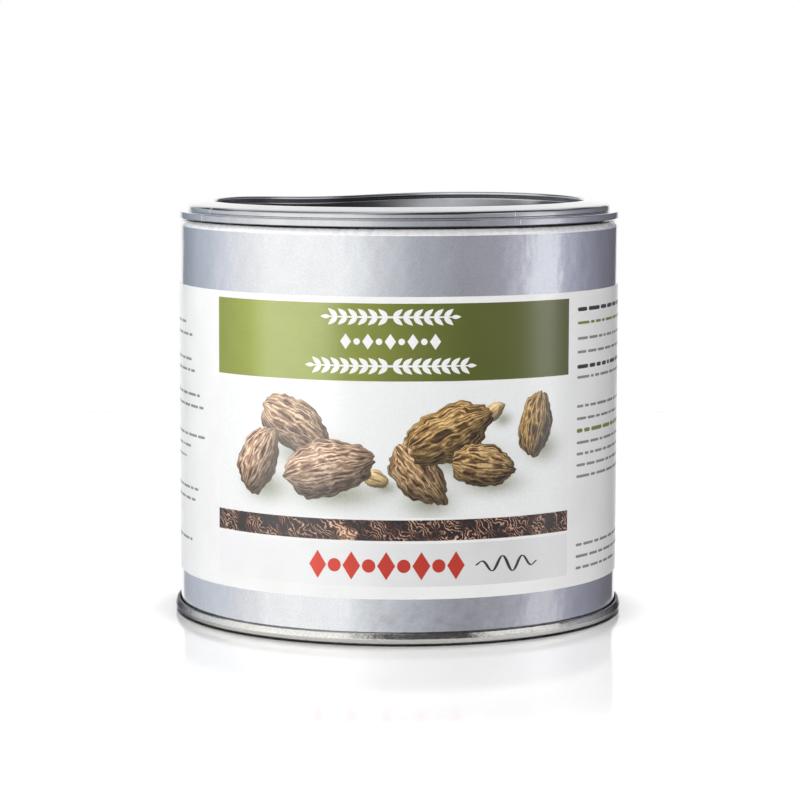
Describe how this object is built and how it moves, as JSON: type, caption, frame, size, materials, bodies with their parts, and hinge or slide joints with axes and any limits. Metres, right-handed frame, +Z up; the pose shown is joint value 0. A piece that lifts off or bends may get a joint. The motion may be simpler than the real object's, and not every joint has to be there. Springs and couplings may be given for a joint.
{
  "type": "round food can with press-in lid",
  "caption": "Squat round paperboard food can with a crimped tinplate base, a press-in plastic lid with a raised ring, and a wrap-round paper label.",
  "frame": {"origin": "centre of the ring that the can stands on, at the level of the surface under it", "axes": "+Z up along the can's axis, -Y towards the front of the label, +X to the right seen from the front"},
  "size_m": [0.123, 0.123, 0.1133],
  "materials": {
    "silver_board": "satin silver metallic laminate on paperboard",
    "tinplate": "bright tinplate",
    "lid_plastic": "smooth silver-grey moulded plastic",
    "label_paper": "printed satin white paper"
  },
  "bodies": {
    "root": {"can_tube": "silver_board", "base_end": "tinplate", "lid": "lid_plastic", "label": "label_paper"}
  },
  "joints": []
}
